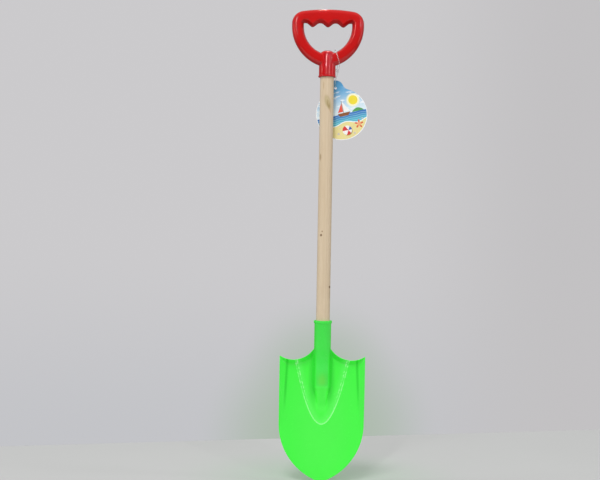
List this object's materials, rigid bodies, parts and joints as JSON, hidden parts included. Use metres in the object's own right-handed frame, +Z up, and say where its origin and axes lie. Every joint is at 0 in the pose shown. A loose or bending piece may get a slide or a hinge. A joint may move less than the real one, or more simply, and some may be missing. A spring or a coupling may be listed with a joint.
{
  "type": "sand shovel",
  "caption": "Long sand shovel for a child: moulded D-shaped hand grip with finger grooves, wooden dowel shaft, dished plastic blade with a socket, and a round card tag on a nylon loop.",
  "frame": {"origin": "middle of the hand grip's bar, on the shaft's axis, halfway between its front and its back", "axes": "+Z runs up along the shaft, from the blade to the grip; the hollow of the blade faces -Y; +X is to the right when the hollow of the blade is seen, and the grip's bar runs along X"},
  "size_m": [0.1366, 0.0304, 0.7589],
  "materials": {
    "grip_plastic": "glossy moulded red polyethylene",
    "shaft_wood": "pale unvarnished hardwood dowel, smooth sanded",
    "blade_plastic": "glossy translucent fluorescent green polypropylene",
    "screw_steel": "zinc plated steel",
    "loop_nylon": "clear nylon",
    "tag_card": "printed coated card, satin"
  },
  "bodies": {
    "shovel": {"grip": "grip_plastic", "shaft": "shaft_wood", "blade": "blade_plastic", "grip_screw": "screw_steel", "blade_screw": "screw_steel"},
    "loop": {"tag_loop": "loop_nylon"},
    "tag": {"hang_tag": "tag_card"}
  },
  "joints": [
    {"name": "loop_swing", "type": "hinge", "parent": "shovel", "child": "loop", "pos_m": [0.0162, 0, -0.06532], "axis": [0.9563, 0, 0.2924], "range_deg": [0, 80]},
    {"name": "tag_swing", "type": "hinge", "parent": "loop", "child": "tag", "pos_m": [0.0142, 0.0128, -0.1102], "axis": [0, 1, 0], "range_deg": [-45, 45]}
  ]
}
